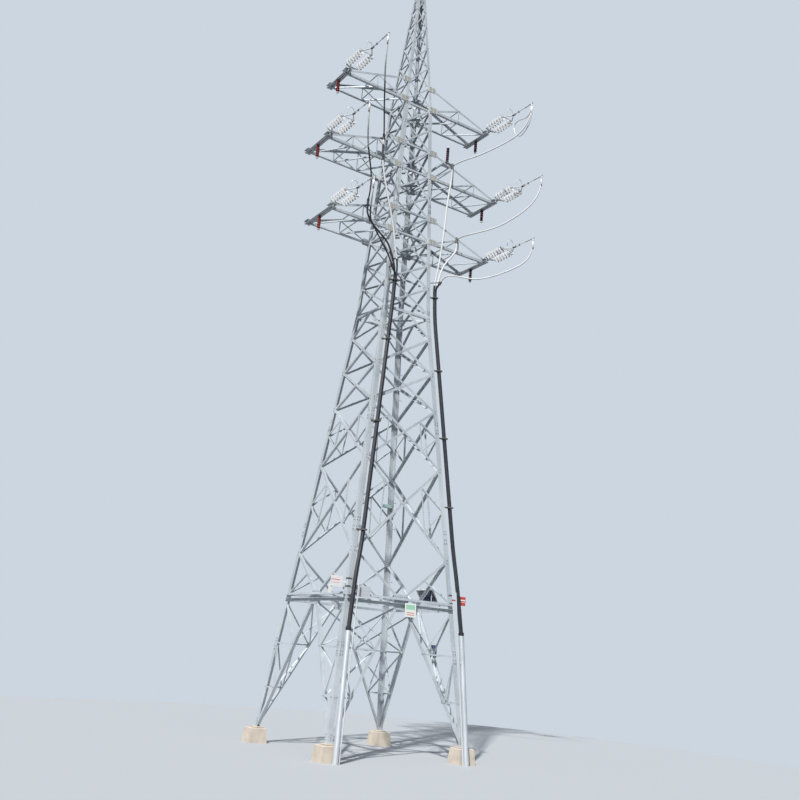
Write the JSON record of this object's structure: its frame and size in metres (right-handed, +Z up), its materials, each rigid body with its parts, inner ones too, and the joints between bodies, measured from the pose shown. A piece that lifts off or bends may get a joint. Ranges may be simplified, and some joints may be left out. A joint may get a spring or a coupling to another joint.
{
  "type": "lattice transmission pylon",
  "caption": "Square lattice line-end tower with tapering body, stacked crossarms, tension insulator strings, jumpers, and insulated cables clamped down two legs into pipes.",
  "frame": {"origin": "on the ground under the tower's vertical axis, at the centre of the square of four footings", "axes": "+Z up along the tower's axis, the crossarms along Y, the line leaves and the insulator strings point along +X"},
  "size_m": [6.1642, 7.754, 27.88],
  "materials": {
    "galvanised_steel": "dull galvanised",
    "concrete": "rough",
    "white_porcelain": "glazed",
    "red_composite": "satin",
    "maroon_composite": "satin",
    "black_sheath": "satin",
    "clamp_metal": "weathered",
    "pipe_steel": "bright galvanised",
    "sign_white": "painted white",
    "sign_grey": "painted grey",
    "sign_red": "painted red",
    "panel_dark": "glossy",
    "box_paint": "painted"
  },
  "bodies": {
    "root": {"leg_a": "galvanised_steel", "leg_b": "galvanised_steel", "leg_c": "galvanised_steel", "leg_d": "galvanised_steel", "leg_extension_a": "galvanised_steel", "leg_extension_b": "galvanised_steel", "leg_extension_c": "galvanised_steel", "leg_extension_d": "galvanised_steel", "waist_frame": "galvanised_steel", "plan_bars": "galvanised_steel", "peak_bracing": "galvanised_steel", "body_side_ab": "galvanised_steel", "body_side_bc": "galvanised_steel", "body_side_cd": "galvanised_steel", "body_side_da": "galvanised_steel", "cage_side_ab": "galvanised_steel", "cage_side_bc": "galvanised_steel", "cage_side_cd": "galvanised_steel", "cage_side_da": "galvanised_steel", "crossarm_low_left": "galvanised_steel", "crossarm_low_right": "galvanised_steel", "crossarm_mid_left": "galvanised_steel", "crossarm_mid_right": "galvanised_steel", "crossarm_top_left": "galvanised_steel", "crossarm_top_right": "galvanised_steel", "footing_a": "concrete", "footing_b": "concrete", "footing_c": "concrete", "footing_d": "concrete", "tension_string_low_left": "white_porcelain", "tension_string_low_right": "white_porcelain", "tension_string_mid_left": "white_porcelain", "tension_string_mid_right": "white_porcelain", "tension_string_top_left": "white_porcelain", "tension_string_top_right": "white_porcelain", "surge_arresters_left": "red_composite", "surge_arresters_right": "maroon_composite", "cable_termination": "maroon_composite", "jumper_low_left": "black_sheath", "jumper_low_right": "black_sheath", "jumper_mid_left": "black_sheath", "jumper_mid_right": "black_sheath", "jumper_top_left": "black_sheath", "jumper_top_right": "black_sheath", "cables_left": "black_sheath", "cables_right": "black_sheath", "cable_heads_left": "clamp_metal", "cable_heads_right": "clamp_metal", "cable_clamps_left": "clamp_metal", "cable_clamps_right": "clamp_metal", "cable_pipe_left": "pipe_steel", "cable_pipe_right": "pipe_steel", "side_rod_left": "pipe_steel", "side_rod_right": "pipe_steel", "termination_platform": "galvanised_steel", "sign_middle": "sign_white", "plate_front": "sign_grey", "sign_leg": "sign_red", "solar_panel": "panel_dark", "device_boxes": "box_paint"}
  },
  "joints": []
}
